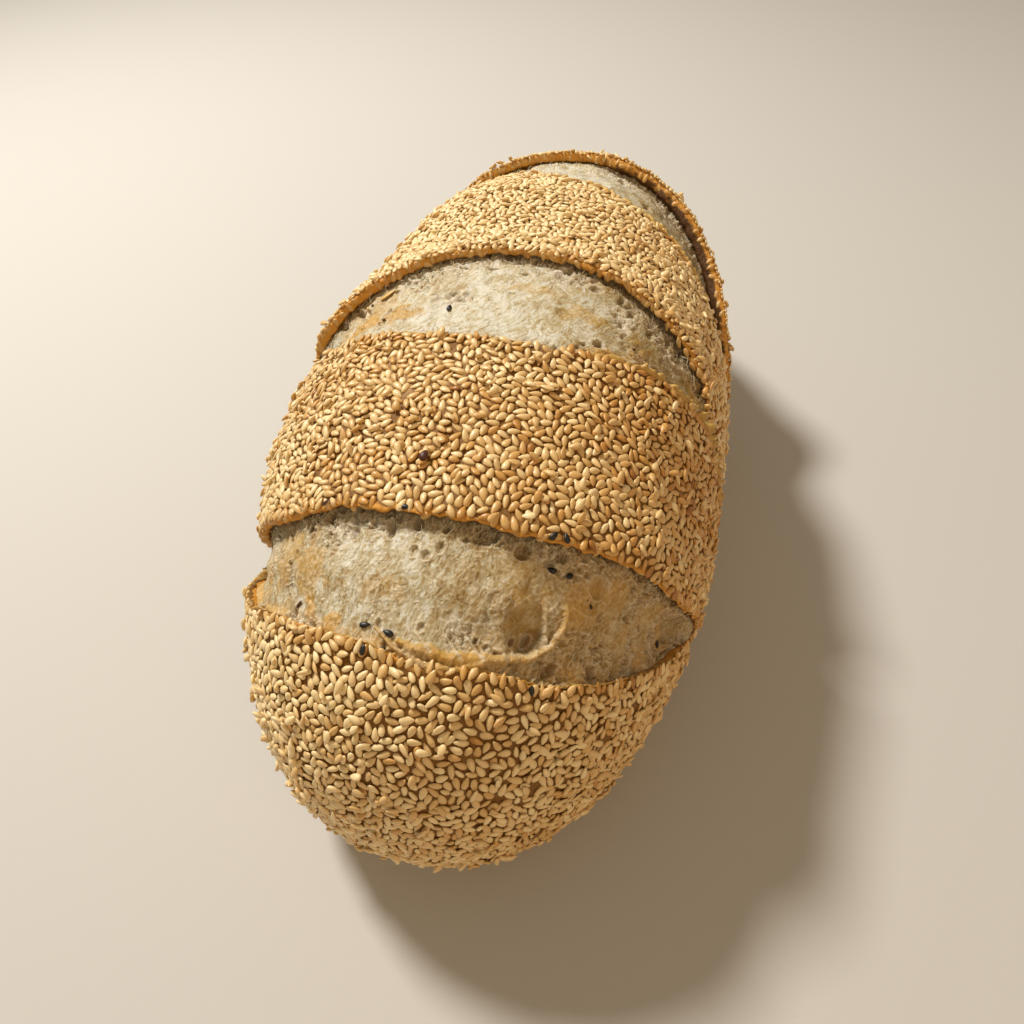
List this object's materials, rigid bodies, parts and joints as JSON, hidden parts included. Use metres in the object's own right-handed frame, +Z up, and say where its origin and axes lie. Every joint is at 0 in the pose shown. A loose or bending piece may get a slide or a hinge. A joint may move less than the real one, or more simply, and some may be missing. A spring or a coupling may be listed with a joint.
{
  "type": "sesame sourdough loaf",
  "caption": "Whole oval sourdough loaf, deeply slashed across the top, with crisp lifted crust lips over open pale crumb and a dense coat of toasted sesame seeds.",
  "frame": {"origin": "on the flat base, under the middle of the loaf", "axes": "+Y along the loaf, from its near end to its far end; +Z up; the lifted crust lips face -Y"},
  "size_m": [0.1249, 0.2525, 0.1012],
  "materials": {
    "crust": "matt baked crust",
    "crumb": "matt, open and fibrous, faintly glossy on the strands",
    "sesame": "satin toasted seed"
  },
  "bodies": {
    "root": {"sesame_loaf": "crust"}
  },
  "joints": []
}
